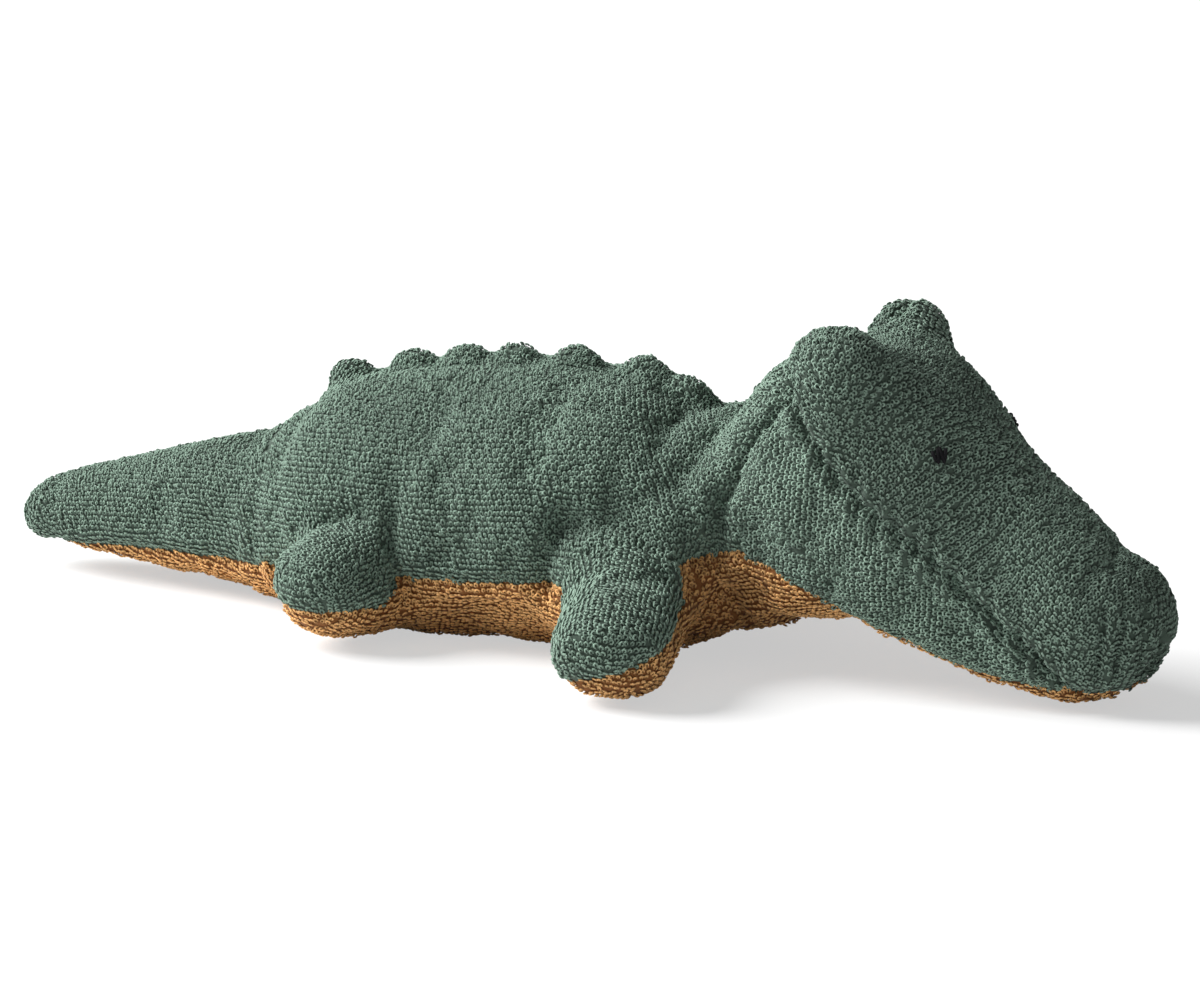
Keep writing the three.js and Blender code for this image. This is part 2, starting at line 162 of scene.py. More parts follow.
# The legs, each a padded paddle sewn to the flank, with its angles in degrees
long_leg_shares = [
    [-0.2, 0.93, 1.05],
    [0.1, 0.94, 1.04],
    [0.36, 0.97, 1.02],
    [0.6, 0.99, 0.98],
    [0.8, 0.93, 0.87],
    [0.93, 0.66, 0.62],
    [1.0, 0.12, 0.12],
]
short_leg_shares = [
    [-0.2, 0.97, 0.97],
    [0.1, 1.0, 1.0],
    [0.36, 0.99, 0.98],
    [0.6, 0.9, 0.89],
    [0.8, 0.71, 0.7],
    [0.93, 0.44, 0.43],
    [1.0, 0.12, 0.12],
]
leg_round = {"top": 0.95, "side": 0.9, "under": 0.75}
front_leg = {
    "shares": long_leg_shares, "root": 43.5,
    "length": 46.0, "width": 31.0, "thickness": 26.0, "back": 5.0, "forward": 19.5,
    "droop": 8, "roll": 5, "drop": 3.0, "lean": 24,
}
hind_leg = {
    "shares": short_leg_shares, "root": 42.5,
    "length": 24.0, "width": 31.0, "thickness": 28.0, "back": 1.0, "forward": -15,
    "droop": 0.5, "roll": 4, "drop": 5.0, "lean": 4,
}
legs = {}
for name, leg in (("front_leg", front_leg), ("hind_leg", hind_leg)):
    for side, sign in (("right", -1), ("left", 1)):
        legs[f"{name}_{side}"] = {**leg, "sign": sign, "pivot": pivots[f"{name}_{side}_swing"]}

# The ridge: padded scallops along the spine, each at a share of the torso's length
ridge_shares = [0.115, 0.24, 0.345, 0.445, 0.56, 0.685, 0.765]
ridge_reach = np.array([9.0, 5.5, 9.5])
ridge_sink = 3.4

# The grid of the random lumps, and the place in it of the animal's middle
lump_grid = 64, 64, 64
lump_middle = 31.5

# How finely forms and seam lines are drawn out, and the least share that a form's field divides by
form_rows, line_points = 400, 120
least_share = 0.05

# How softly the forms flow into each other
soft_tail, soft_head, soft_brow, soft_ridge = 14.0, 3.0, 10.0, 3.5
soft_legs = {"front_leg": 16.0, "hind_leg": 9.0}

# The skin's grid with its margins, how high the skin lies over the ground, and its loops' reach
voxel = 2.0
margin_round, margin_under, margin_over = 8.0, 10.0, 12.0
ground = 1.1
loops_reach = 0.9

# Seams: how deep they draw the cloth in, how wide, and the height of the puckers beside them
belly_seam = 1.2, 2.2, 0.3
tail_seam = 1.0, 2.0, 0.2
top_seam = 3.4, 2.6, 1.2
chin_seam = 0.8, 1.8, 0.15
neck_seam = 3.2, 2.8, 0.5
leg_seam = 0.9, 1.8, 0.3
root_seam = 0.4, 2.2, 0.2
tail_root_seam = 0.5, 2.5, 0.2

# How deep crossing seams may go, where the belly's and the neck's begin and fade, and the puckers;
# lumps are given by their size and seed
deepest_seam = 3.6
belly_seam_start = 4.0
neck_seam_reach = 20.0
neck_seam_top, neck_seam_fade = 78.0, 0.5
pucker_pitch = 5.5
pucker_reach = 6.0
pucker_gap = 0.8
pucker_wander = 0.35
pucker_lumps = 7.0, 3

# How far from the body the seam of a sole has left the seam of the belly
sole_blend = 7.0

# The lumps of the filling under the skin: height, size and seed of each kind
skin_lumps = [(0.55, 16.0, 1), (0.25, 6.0, 2)]

# The filling's push on the sewn skin, how much longer the cloth is cut, how far it may move, how near
# its seams it is held, and how its moves are shared out among the points between them
cloth_pressure = 4.0
cloth_ease = 0.02
cloth_cap = 3.0
cloth_stiffness = 15
cloth_bending = 0.2
cloth_frames = 20
held_share = 0.5
near_count, near_least = 4, 0.5

# The filling: its clearance under the skin, between bodies, its lumps, and in the neck half its length
# and how far behind the pivot it lies
filling_inset = 6.5
filling_gap = 3.0
filling_rise = 0.9
filling_lumps = 9.0, 12
neck_filling = 13.0
neck_filling_back = 2

# The eyes: how far out and down from the frame's; their thread, its ends and the way its rings are
# turned; and their stitches: place, length, slant in degrees
eye_out, eye_down = 1.2, 2.6
thread_radius = 0.5
thread_rise, thread_dip = 1.5, 8.0
thread_end, thread_least = 8, 0.02
thread_aside = 0.3, 0.9, 0.2
stitch_points = 13
stitches = [[-1.4, 2.6, 12], [-0.45, 4.0, -6], [0.45, 4.4, 10], [1.3, 3.2, -14]]

# Terry: rows of loops, each a small arch of yarn
row_pitch = 1.4
loop_pitch = 1.3
loop_width = 0.92
loop_height = 1.0
yarn_radius = 0.29
loop_turn = [math.radians(-70), math.radians(250)]
loop_lean = math.radians(72)
loop_rings = 6
yarn_sides = 3
loop_sink = 0.6

# The rounds that the loops come in, each shifted by a share of a row, and the share of places that
# they take on evenly stretched cloth, less in each later round; and how the rows wave
loop_rounds = 0, 0.5, 0.25
loop_share, loop_share_less = 1.2, 1.15
row_wave = 0.35
row_lumps = 8.0, 8

# How straight along its form a face looks where the form counts as blunt
blunt_end = 0.8

# The way the loops lie: forward, outwards and down
brushed = np.array([0.4, 0.4, -1.0])

# How uneven the loops are: their turn and lean in radians, their sizes as shares, their places
turn_spread, turn_drift = math.radians(26), 0.5
lean_spread, lean_drift = math.radians(9), 0.2
turn_lumps = 11.0, 5
lean_lumps = 13.0, 6
size_spread, width_spread, height_spread, place_spread = 0.13, 0.1, 0.12, 0.1

# The yarn's shades: the painted shade at a loop's root, the tone from loop to loop, and of plain fibres; and
# the fibres' height
painted_shade_root_lift = 0.45
tone_range = 0.86, 1.14
plain_range = 0.75, 1.25
fibre_height = 0.2

# How the cloth is brushed: how much darker or lighter its loops look at random; painted shade on the head's
# top, nose, brow, throat and front soles and painted light on the lower cheeks, and where along the head
nap_depth = 0.25
nap_lumps = 20.0, 9
top_painted_shade, under_painted_shade = -0.3, -0.5
nose_painted_shade, nose_start, nose_fade = -0.6, 0.82, 0.12
brow_painted_shade, brow_shade_place, brow_shade_width = -0.7, 0.47, 0.11
cheek_painted_light, cheek_place, cheek_width = 0.5, 0.6, 0.16
cheek_top, cheek_fade = 38.0, 12.0

# The map for baking the yarn's colours onto: a swatch for each tone of loop, and the backing above
swatches = np.array([16, 40])
swatch_top = 0.88
swatch_edge = 0.1
backing_swatch = [[0.02, 0.9], [0.98, 0.9], [0.98, 0.99], [0.02, 0.99]]

# Spans for bends of the cloth, from the neck's front, the torso's back and each leg's root, and how far;
# nothing makes the cloth bend along them, and the pieces that have one are left unattached
neck_bend, head_bend, leg_bend = 16.5, 14.0, 11.0
tail_bend_start, tail_bend = 4.5, 17.0

# The camera and the light
camera_azimuth, camera_elevation = math.radians(28), math.radians(12)
camera_distance = 1.1
camera_target = Vector((0, 0, 0.03))
camera_lens = 125.4
camera_sensor = 36
camera_near = 0.05
camera_shift = 49 / 1200, 13 / 1200
sun_from, sun_spread, sun_power = (-0.79, -0.15, 0.59), math.radians(40), 7.2
world_power = 0.14
floor_reach = 4.0
floor_colour = 0.9, 0.9, 0.9, 1
floor_glow = 0.55
plain_white = 1, 1, 1, 1

# What a size is at least where something is divided by it
tiny = 1e-9


def dense(table, count):
    """A table of rows, drawn out on a smooth curve through them."""
    table = np.asarray(table, float)
    x = table[:, 0]
    at = np.linspace(x[0], x[-1], count)
    span = np.clip(np.searchsorted(x, at, side="right") - 1, 0, len(x) - 2)
    slopes = np.gradient(table, x, axis=0)
    width = (x[span + 1] - x[span])[:, None]
    t = ((at - x[span]) / width[:, 0])[:, None]
    drawn = (
        table[span] * (1 + 2 * t) * (1 - t) ** 2
        + slopes[span] * width * t * (1 - t) ** 2
        + table[span + 1] * t * t * (3 - 2 * t)
        - slopes[span + 1] * width * t * t * (1 - t)
    )
    drawn[:, 0] = at
    return drawn


def on_line(line, places):
    """What a line of [place, value] gives at each place."""
    return np.interp(places, line[:, 0], line[:, 1])


def bell(distance, width):
    """1 at no distance, fading over a width."""
    return np.exp(-((distance / width) ** 2))


def turn_about(axis, angle):
    """A rotation about X, Y or Z, as numpy."""
    return np.array(Matrix.Rotation(angle, 3, axis))


def between(grid, cell, share):
    """The values of a grid inside its cells, at a share of the way across each."""
    total = np.zeros(len(cell))
    for corner in np.ndindex((2,) * grid.ndim):
        weight = np.where(corner, share, 1 - share).prod(axis=1)
        total += weight * grid[tuple(((cell + corner) % grid.shape).T)]
    return total


def within(grid, place):
    """The values of a grid at places counted in its own steps."""
    cell = np.clip(np.floor(place).astype(int), 0, np.array(grid.shape) - 2)
    return between(grid, cell, place - cell)


class Form:
    """A padded form: rows of [x, half width, top, widest height, underside] along its own X axis.

    A point p of the form's own frame lies at centre + turn @ (p - origin).
    """

    def __init__(self, rows, roundness, turn=None, centre=(0, 0, 0), origin=(0, 0, 0)):
        self.rows = dense(rows, form_rows)
        self.round = roundness
        self.turn = np.eye(3) if turn is None else turn
        self.centre = np.asarray(centre, float)
        self.origin = np.asarray(origin, float)
        self.along, self.girth = self.measure()

    def local(self, points):
        """Points in the form's own frame."""
        return (points - self.centre) @ self.turn + self.origin

    def across(self, points):
        """Each point in the form's frame, with the sizes of the section there."""
        p = self.local(points)
        x = np.clip(p[..., 0], self.rows[0, 0], self.rows[-1, 0])
        half, top, wide, under = (np.interp(x, self.rows[:, 0], self.rows[:, k]) for k in (1, 2, 3, 4))
        rise = p[..., 2] - wide
        return p, half, rise, *self.halves(rise > 0, top, wide, under)

    def halves(self, above, top, wide, under):
        """The reach and roundness of a section, above its widest height or below."""
        reach = np.where(above, top - wide, wide - under)
        return reach, np.where(above, self.round["top"], self.round["under"])

    def field(self, points):
        """About how far each point is outside the form."""
        p, half, rise, reach, curve = self.across(points)
        share = np.sqrt(
            (np.abs(p[..., 1]) / half) ** (2 / self.round["side"]) + (np.abs(rise) / reach) ** (2 / curve)
        )
        away = np.hypot(p[..., 1], rise)
        core = np.minimum(half, reach)
        surface = np.where(share > least_share, away / np.maximum(share, least_share), core)
        ends = np.maximum(p[..., 0] - self.rows[-1, 0], self.rows[0, 0] - p[..., 0])
        return np.maximum(surface * (share - 1), ends)

    def measure(self, turns=240):
        """Lengths of cloth: along the form, and round it from the top to the underside."""
        angle = np.linspace(0, math.pi, turns)
        up, over = np.cos(angle), np.sin(angle)
        x, half, top, wide, under = self.rows.T
        reach, curve = self.halves(up > 0, top[:, None], wide[:, None], under[:, None])
        y = half[:, None] * np.abs(over) ** self.round["side"]
        z = wide[:, None] + reach * np.sign(up) * np.abs(up) ** curve
        steps = np.hypot(np.diff(y, axis=1), np.diff(z, axis=1)).cumsum(axis=1)
        girth = np.concatenate([np.zeros((len(x), 1)), steps], axis=1)
        size = (half + top - under) / 2
        along = np.concatenate([[0], np.hypot(np.diff(x), np.diff(size)).cumsum()])
        return along, girth

    def unroll(self, points, start):
        """The cloth's coordinates: along the form, and round it from a seam line or a midline."""
        p, half, rise, reach, curve = self.across(points)
        over = (np.abs(p[..., 1]) / half) ** (1 / self.round["side"])
        up = np.sign(rise) * (np.abs(rise) / reach) ** (1 / curve)
        row = np.interp(p[..., 0], self.rows[:, 0], np.arange(len(self.along)))
        around = self.girth_at(row, np.arctan2(over, up) / math.pi)
        side = np.where(p[..., 1] < 0, -1.0, 1.0)
        if isinstance(start, str):
            if start == "under":
                around = self.girth_at(row, np.ones_like(row)) - around
            around = around * side
        else:
            around = around - self.seam_girth(p[..., 0], start)
        return np.stack([np.interp(row, np.arange(len(self.along)), self.along), around], axis=-1)

    def girth_at(self, row, share):
        """The length of cloth from the top, at a row and a share of the half turn."""
        at = np.clip(share, 0, 1) * (self.girth.shape[1] - 1)
        return within(self.girth, np.stack([row, at], axis=1))

    def seam_girth(self, x, seam):
        """How far round the form a seam line of [x, z] lies at each place."""
        places, _, top, wide, under = self.rows.T
        rise = on_line(seam, places) - wide
        reach, curve = self.halves(rise > 0, top, wide, under)
        up = np.sign(rise) * np.clip(np.abs(rise) / reach, 0, 1) ** (1 / curve)
        girth = self.girth_at(np.arange(len(places), dtype=float), np.arccos(up) / math.pi)
        return np.interp(x, places, girth)


def rows_of(shares, back, length, width, height):
    """A form's rows in real sizes, from its table of shares."""
    return [
        [back + at * length, half * width / 2, top * height, wide * height, under * height]
        for at, half, top, wide, under in shares
    ]


def line_of(shares, back, length, height):
    """A seam line in real sizes, drawn out smooth, as [x, z]."""
    return dense([[back + at * length, share * height] for at, share in shares], line_points)


def make_tail():
    rows = []
    for at, size in reversed(tail_shares):
        middle = tail_pivot[2] + tail_lift * (1 - at) - tail_drop * at
        half_height = size * tail_height / 2
        x = tail_pivot[0] - at * tail_length
        rows.append([x, size * tail_width / 2, middle + half_height, middle, middle - half_height])
    return Form(rows, tail_round)


def make_leg(leg):
    rows = []
    for at, wide, thick in leg["shares"]:
        half_thickness = thick * leg["thickness"] / 2
        rows.append([at * leg["length"], wide * leg["width"] / 2, half_thickness, 0.0, -half_thickness])
    turn = (
        turn_about("Z", math.pi / 2 - math.radians(leg["forward"]))
        @ turn_about("Y", math.radians(leg["droop"]))
        @ turn_about("X", math.radians(leg["roll"]))
    )
    centre = leg["pivot"] - np.array([leg["back"], 0, 0])
    return Form(rows, leg_round, np.diag([1.0, leg["sign"], 1.0]) @ turn, centre)


torso = Form(rows_of(torso_shares, torso_back, torso_length, torso_width, torso_height), body_round)
head = Form(
    rows_of(head_shares, head_back, head_length, head_width, head_height),
    head_round,
    turn_about("X", head_roll) @ turn_about("Z", head_turn),
    neck_pivot,
    neck_pivot,
)
tail = make_tail()
leg_forms = {name: make_leg(leg) for name, leg in legs.items()}
forms = {"torso": torso, "tail": tail, "head": head, **leg_forms}
belly_line = line_of(belly_seam_shares, torso_back, torso_length, torso_height)
top_line = line_of(top_seam_shares, head_back, head_length, head_height)
chin_line = line_of(chin_seam_shares, head_back, head_length, head_height)
tail_line = line_of([[1 - at, z] for at, z in reversed(tail_seam_shares)], tail_tip, tail_length, tail_height)
climb = dense([[share * head_height, head_back + step] for share, step in climb_shares], line_points)


def ellipsoid(points, centre, reach):
    """About how far each point is outside an ellipsoid."""
    d = points - centre
    size = np.linalg.norm(d / reach, axis=-1)
    return (size - 1) * np.linalg.norm(d, axis=-1) / np.maximum(size, least_share)


def melt(a, b, soft):
    """The union of two fields, with a soft hollow where they meet."""
    near = np.maximum(soft - np.abs(a - b), 0) / soft
    return np.minimum(a, b) - near * near * soft / 4


def head_field(points):
    """The head with its two brow bumps."""
    field = head.field(points)
    p = head.local(points)
    for side, reach in brow_reach.items():
        centre = np.array([head_back + brow["place"], side * brow["spread"], brow["top"] - reach[2]])
        field = melt(field, ellipsoid(p, centre, reach), soft_brow)
    return field


def torso_field(points):
    """The torso with the scallops of its ridge."""
    field = torso.field(points)
    for share in ridge_shares:
        x = torso_back + share * torso_length
        top = np.interp(x, torso.rows[:, 0], torso.rows[:, 2])
        field = melt(field, ellipsoid(points, np.array([x, 0, top - ridge_sink]), ridge_reach), soft_ridge)
    return field


def even(field, step):
    """A field with its slope brought down to at most 1, so that it counts in millimetres."""
    slope = np.sqrt(sum(part**2 for part in np.gradient(field, step)))
    return field / np.maximum(slope, 1.0)


class Space:
    """The fields of all the forms on a regular grid round the animal."""

    def __init__(self, step):
        reach = legs["front_leg_left"]["pivot"][1] + front_leg["length"] + margin_round
        self.low = np.array([tail_tip - margin_round, -reach, -margin_under])
        high = [head_back + head_length + margin_round, reach, brow["top"] + margin_over]
        self.step = step
        axes = [np.arange(a, b, step) for a, b in zip(self.low, high)]
        points = np.stack(np.meshgrid(*axes, indexing="ij"), axis=-1)
        fields = {name: form.field for name, form in forms.items()}
        fields.update(torso=torso_field, head=head_field)
        self.fields = {name: even(field(points), step) for name, field in fields.items()}
        self.points = points
        union = melt(self.fields["torso"], self.fields["tail"], soft_tail)
        union = melt(union, self.fields["head"], soft_head)
        for name in leg_forms:
            union = melt(union, self.fields[name], soft_legs[name[: name.rindex("_")]])
        self.union = union + loops_reach

    def sample(self, name, points):
        """A form's field at any points."""
        return within(self.fields[name], (points - self.low) / self.step)

    def nearer_torso(self, name, points):
        """How much nearer to the torso than to a form points are."""
        return self.sample(name, points) - self.sample("torso", points)

    def surface(self, field, coarser=1):
        """The surface where a field is zero, as points and quads that face outwards."""
        step = self.step * coarser
        field = field[::coarser, ::coarser, ::coarser]
        band = 3 * step
        grid = openvdb.FloatGrid(background=band)
        grid.copyFromArray(np.clip(field, -band, band).astype(np.float32))
        points, quads = grid.convertToQuads(isovalue=0.0)
        points = points.astype(float) * step + self.low
        corner = points[quads]
        facing = np.cross(corner[:, 2] - corner[:, 0], corner[:, 3] - corner[:, 1])
        if np.einsum("ij,ij->", facing, corner.mean(axis=1) - points.mean(axis=0)) < 0:
            quads = quads[:, ::-1]
        return points, quads.astype(np.int32)


def mesh_of(name, points, faces):
    """A mesh from points in millimetres and faces of one size."""
    made = bpy.data.meshes.new(name)
    size = faces.shape[1]
    made.vertices.add(len(points))
    made.vertices.foreach_set("co", (points / MM).astype(np.float32).ravel())
    made.loops.add(faces.size)
    made.loops.foreach_set("vertex_index", faces.astype(np.int32).ravel())
    made.polygons.add(len(faces))
    made.polygons.foreach_set("loop_start", np.arange(0, faces.size, size, dtype=np.int32))
    made.polygons.foreach_set("use_smooth", np.ones(len(faces), bool))
    made.update(calc_edges=True)
    return made


def add_object(name, data):
    made = bpy.data.objects.new(name, data)
    bpy.context.scene.collection.objects.link(made)
    return made


def numbers(items, name, width=1, kind=np.float32):
    """An attribute of all items, as numpy."""
    found = np.empty(len(items) * width, kind)
    items.foreach_get(name, found)
    return found.reshape(-1, width) if width > 1 else found


def baked(held):
    """An object's points and quads with its modifiers applied; the object is removed."""
    made = bpy.data.meshes.new_from_object(held.evaluated_get(bpy.context.evaluated_depsgraph_get()))
    points = numbers(made.vertices, "co", 3).astype(float) * MM
    quads = numbers(made.loops, "vertex_index", kind=np.int32).reshape(-1, 4)
    bpy.data.objects.remove(held)
    return points, quads


def refined(points, quads):
    """One smooth subdivision."""
    rough = add_object("rough", mesh_of("rough", points, quads))
    rough.modifiers.new("smooth", "SUBSURF").levels = 1
    return baked(rough)


def normals_of(points, quads):
    """Vertex normals from the faces round each vertex."""
    corner = points[quads]
    facing = np.cross(corner[:, 2] - corner[:, 0], corner[:, 3] - corner[:, 1])
    total = np.zeros_like(points)
    for k in range(4):
        for axis in range(3):
            total[:, axis] += np.bincount(quads[:, k], weights=facing[:, axis], minlength=len(points))
    return total / np.maximum(np.linalg.norm(total, axis=1), tiny)[:, None]


def lumps(points, size, seed):
    """Smooth random lumps of one size, from -1 to 1, the same each run."""
    values = np.random.default_rng(seed).uniform(-1, 1, lump_grid)
    place = points / size + lump_middle
    cell = np.floor(place).astype(int)
    share = place - cell
    return between(values, cell, share * share * (3 - 2 * share))


def bodies_at(space, points):
    """The name of the form that each point belongs to."""
    names = list(forms)
    return np.array(names)[np.argmin([space.sample(name, points) for name in names], axis=0)]


def leg_level(space, name, points):
    """How far points are above the seam of a leg's sole, which runs into the seam of the belly."""
    leg = legs[name]
    p = leg_forms[name].local(points)
    sole = p[:, 2] + leg["drop"] + p[:, 1] * math.tan(math.radians(leg["lean"]))
    own = np.clip(-space.nearer_torso(name, points) / sole_blend, 0, 1)
    belly = points[:, 2] - on_line(belly_line, points[:, 0])
    return own * sole + (1 - own) * belly


def draw_in(distance, along, seam, shape):
    """The displacement that a seam gives to the cloth beside it."""
    depth, width, pucker = seam
    groove = -depth * bell(distance, width)
    wave = np.sin(2 * math.pi * (along / pucker_pitch + pucker_wander * shape))
    fade = bell(distance, pucker_reach) * (1 - bell(distance, pucker_gap))
    return groove + pucker * wave * fade


def crease(points, line, depth, width, fade=0.3):
    """The displacement of a fold along a line of points; it fades out towards both ends."""
    line = np.asarray(line, float)
    best = np.full(len(points), np.inf)
    place = np.zeros(len(points))
    for k in range(len(line) - 1):
        d = line[k + 1] - line[k]
        t = np.clip((points - line[k]) @ d / (d @ d), 0, 1)
        away = np.linalg.norm(points - line[k] - t[:, None] * d, axis=1)
        closer = away < best
        best = np.where(closer, away, best)
        place = np.where(closer, (k + t) / (len(line) - 1), place)
    ends = np.clip(np.minimum(place, 1 - place) / fade, 0, 1)
    return -depth * ends * ends * (3 - 2 * ends) * bell(best, width)


# Folds of the right side's cloth: the line of each, its depth and its width
side_folds = [
    ([[-27, -39, 38], [-26, -39, 29], [-24, -41, 22], [-22, -41, 17], [-21, -38, 10]], 6.0, 3.0),
    ([[-50, -40, 26], [-46, -40, 30], [-40, -40, 33], [-34, -40, 34], [-28, -40, 31]], 1.6, 2.2),
    ([[-28, -29, 57], [-26, -37, 47], [-25, -39, 37], [-24, -39, 28]], 1.3, 4.6),
    ([[-5, -31, 57], [-2, -38, 46], [-1, -41, 36], [-1, -41, 22]], 1.0, 5.0),
    ([[24, -35, 47], [22, -38, 36], [20, -38, 28], [19, -39, 20], [19, -38, 14]], 4.2, 3.2),
    ([[19, -38, 30], [26, -37, 36], [38, -37, 38], [47, -37, 36], [55, -34, 30]], 2.4, 3.4),
    ([[57, -32, 34], [58, -32, 28], [58, -35, 23], [58, -37, 17]], 3.0, 3.0),
    ([[50, -30, 45], [40, -35, 42], [31, -38, 38], [24, -39, 32]], 2.2, 4.6),
    ([[54, -2, 61], [54, -18, 58], [51, -27, 50], [48, -34, 40]], 2.5, 4.2),
    ([[42, -3, 67], [42, -16, 61], [44, -26, 55]], 0.9, 4.0),
    ([[62, -24, 55], [61, -27, 44], [62, -28, 33]], 1.5, 3.4),
    ([[52, -34, 29], [56, -32, 32], [62, -28, 36]], 2.2, 3.4),
    ([[-84, -2, 46], [-80, -20, 36], [-78, -24, 24]], 0.8, 4.0),
    ([[-72, -4, 50], [-71, -20, 42], [-69, -27, 31]], 0.7, 3.5),
    ([[87, -27, 17], [92, -31, 23], [97, -33, 30]], 0.8, 3.0),
    ([[54, -31, 4], [57, -30, 11], [62, -27, 18], [70, -24, 23], [78, -22, 25]], 3.0, 4.2),
]
head_folds = [
    ([[97, -5, 86], [100, -16, 86], [101, -26, 82], [100, -31, 76]], 1.3, 3.2),
    ([[94, 1, 86], [97, 5, 91], [98, 9, 94], [97, 16, 92]], 2.6, 2.2),
    ([[164, -25, 32], [164, -26, 23], [163, -26, 15], [162, -25, 8]], 2.0, 1.3),
    ([[168, -22, 32], [168, -24, 23], [167, -25, 15], [167, -24, 8]], 2.0, 1.3),
    ([[171, -19, 31], [172, -21, 22], [172, -21, 15], [171, -19, 9]], 1.8, 1.3),
    ([[174, -14, 29], [175, -15, 21], [175, -16, 17], [172, -10, 10]], 1.6, 1.3),
]


def mirrored(fold):
    """The same fold on the left side."""
    line, depth, width = fold
    return [[x, -y, z] for x, y, z in line], depth, width


folds = side_folds + [mirrored(fold) for fold in side_folds] + head_folds


def seams_at(space, points):
    """Every seam: the points beside it, their distance from it, their place along it, and its make."""
    owner = bodies_at(space, points)
    found = []

    def lengthwise(on, form, line, seam):
        along, around = form.unroll(points[on], line).T
        found.append((on, around, along, seam))

    ahead = points[:, 0] > torso_back + belly_seam_start
    lengthwise((owner == "torso") & ahead, torso, belly_line, belly_seam)
    lengthwise(owner == "tail", tail, tail_line, tail_seam)
    p = head.local(points)
    behind = p[:, 0] - on_line(climb, p[:, 2])
    on = np.isin(owner, ["torso", "head"]) & (p[:, 0] > head_back - neck_seam_reach)
    away = np.hypot(behind, neck_seam_fade * np.maximum(p[:, 2] - neck_seam_top, 0))
    found.append((on, away[on], p[on, 2] + p[on, 1], neck_seam))
    lengthwise((owner == "head") & (behind > 0), head, top_line, top_seam)
    lengthwise((owner == "head") & (behind > 0), head, chin_line, chin_seam)
    for name in legs:
        on = owner == name
        along = leg_forms[name].local(points[on])[:, 0]
        found.append((on, leg_level(space, name, points[on]), along, leg_seam))
        on = np.isin(owner, [name, "torso"])
        near = space.nearer_torso(name, points[on])
        found.append((on, near, points[on, 2] + points[on, 0], root_seam))
    on = np.isin(owner, ["tail", "torso"])
    near = space.nearer_torso("tail", points[on])
    found.append((on, near, points[on, 2] + points[on, 1], tail_root_seam))
    return found


def swollen(space):
    """How far the filling pushes the sewn skin out: points of a coarse skin, and their moves."""
    points, quads = space.surface(space.union, coarser=2)
    normals = normals_of(points, quads)
    held = np.zeros(len(points))
    sunk = np.zeros(len(points))
    for on, distance, _, (depth, _, _) in seams_at(space, points):
        near = bell(distance, space.step)
        held[on] = np.maximum(held[on], near)
        sunk[on] = np.minimum(sunk[on], -depth * near)
    start = points + normals * sunk[:, None]
    cloth = add_object("cloth", mesh_of("cloth", start, quads))
    cloth.vertex_groups.new(name="seams")
    for index in np.nonzero(held > held_share)[0]:
        cloth.vertex_groups["seams"].add([int(index)], 1.0, "REPLACE")
    sewn = cloth.modifiers.new("cloth", "CLOTH")
    sewn.settings.vertex_group_mass = "seams"
    sewn.settings.effector_weights.gravity = 0
    sewn.settings.use_pressure = True
    sewn.settings.uniform_pressure_force = cloth_pressure
    sewn.settings.shrink_min = -cloth_ease
    sewn.settings.tension_stiffness = cloth_stiffness
    sewn.settings.compression_stiffness = cloth_stiffness
    sewn.settings.bending_stiffness = cloth_bending
    sewn.point_cache.frame_end = cloth_frames
    for step in range(1, cloth_frames + 1):
        bpy.context.scene.frame_set(step)
    moved = baked(cloth)[0] - start
    bpy.context.scene.frame_set(1)
    size = np.linalg.norm(moved, axis=1)
    moved = moved * np.minimum(1, cloth_cap / np.maximum(size, tiny))[:, None]
    return points, moved


def spread_moves(points, moves, onto):
    """The moves of some points, carried over to others near them."""
    tree = KDTree(len(points))
    for index, point in enumerate(points.tolist()):
        tree.insert(point, index)
    tree.balance()
    total = np.zeros_like(onto)
    for index, point in enumerate(onto.tolist()):
        near = tree.find_n(point, near_count)
        weights = np.array([1 / (away + near_least) ** 2 for _, _, away in near])
        total[index] = weights @ moves[[k for _, k, _ in near]] / weights.sum()
    return total


def shape_skin(space, points, quads):
    """The skin with its seams, puckers, folds and the lumps of its filling."""
    normals = normals_of(points, quads)
    waves = lumps(points, *pucker_lumps)
    drawn = np.zeros(len(points))
    for on, distance, along, seam in seams_at(space, points):
        drawn[on] += draw_in(np.abs(distance), along, seam, waves[on])
    move = np.maximum(drawn, -deepest_seam)
    move += sum(height * lumps(points, size, seed) for height, size, seed in skin_lumps)
    for line, depth, width in folds:
        move += crease(points, line, depth, width)
    shaped = points + normals * move[:, None]
    shaped = shaped + spread_moves(*swollen(space), points)
    shaped[:, 2] = np.maximum(shaped[:, 2], ground)
    return shaped


def head_parts(points):
    """Which panel of the head, or of the neck behind it, each point belongs to."""
    p = head.local(points)
    behind = p[:, 0] < on_line(climb, p[:, 2])
    above = p[:, 2] > on_line(top_line, p[:, 0])
    below = p[:, 2] < on_line(chin_line, p[:, 0])
    side = np.where(p[:, 1] < 0, "head_side_panel_right", "head_side_panel_left")
    part = np.where(above & ~behind, "head_top_panel", side)
    part = np.where(below, "chin_panel", part)
    neck_part = np.where(below, "throat_panel", "neck_upper_panel")
    return np.where(points[:, 0] < neck_front, neck_part, part)


